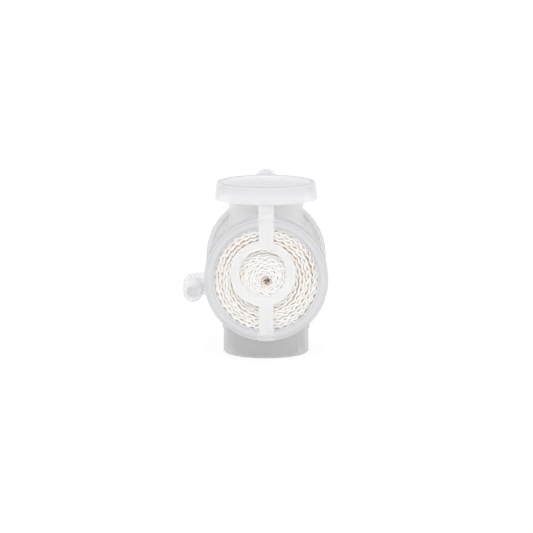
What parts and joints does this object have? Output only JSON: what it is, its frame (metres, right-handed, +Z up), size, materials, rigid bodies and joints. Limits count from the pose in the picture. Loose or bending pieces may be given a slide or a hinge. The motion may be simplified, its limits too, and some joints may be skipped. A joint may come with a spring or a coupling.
{
  "type": "tracheostomy filter",
  "caption": "T-shaped heat and moisture filter for a tracheostomy tube, with two crimped paper rolls, a capped suction port and an oxygen elbow.",
  "frame": {"origin": "centre of the tube socket's mouth, on the plane of the rim that the part stands on", "axes": "+Z up along the airway, from the tube socket to the suction port; +Y along the barrel towards the rear grille; -X towards the oxygen elbow"},
  "size_m": [0.0373, 0.0418, 0.0456],
  "materials": {
    "clear_plastic": "clear, slightly grey moulding",
    "milky_plastic": "milky translucent moulding",
    "cap_plastic": "milky translucent moulding, soft",
    "crimped_paper": "matt white"
  },
  "bodies": {
    "filter": {"housing": "clear_plastic", "front_end_cap": "milky_plastic", "rear_end_cap": "milky_plastic", "front_paper_roll": "crimped_paper", "rear_paper_roll": "crimped_paper"},
    "cap": {"suction_cap": "cap_plastic"}
  },
  "joints": [
    {"name": "cap_hinge", "type": "hinge", "parent": "filter", "child": "cap", "pos_m": [0, -0.0132, 0.04002], "axis": [1, 0, 0], "range_deg": [0, 105]}
  ]
}
